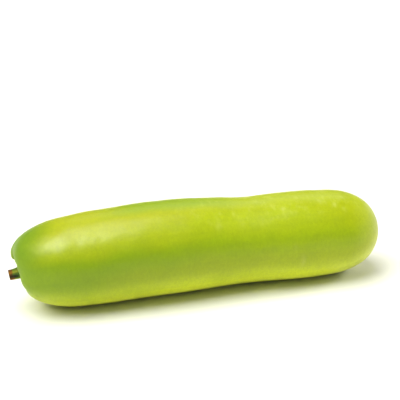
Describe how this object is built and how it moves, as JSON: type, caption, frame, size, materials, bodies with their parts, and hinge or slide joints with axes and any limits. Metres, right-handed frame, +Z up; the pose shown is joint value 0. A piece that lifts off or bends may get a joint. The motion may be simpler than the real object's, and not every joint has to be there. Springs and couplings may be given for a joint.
{
  "type": "bottle gourd",
  "caption": "Long cylindrical bottle gourd as picked, blunt at both ends with a slight waist, lying on its side, with a cut stub of stem in a folded dimple.",
  "frame": {"origin": "on the surface that the gourd lies on, under the middle of its bounding box", "axes": "+X along the fruit towards the blossom end, so the stem points to -X; +Z up from the surface; -Y is the side seen in the picture"},
  "size_m": [0.3502, 0.089, 0.0861],
  "materials": {
    "rind": "smooth satin rind, light yellow-green with faint pale mottling",
    "stem": "dull, finely ribbed green with a brown dried cut end"
  },
  "bodies": {
    "root": {"fruit": "rind", "stem": "stem"}
  },
  "joints": []
}
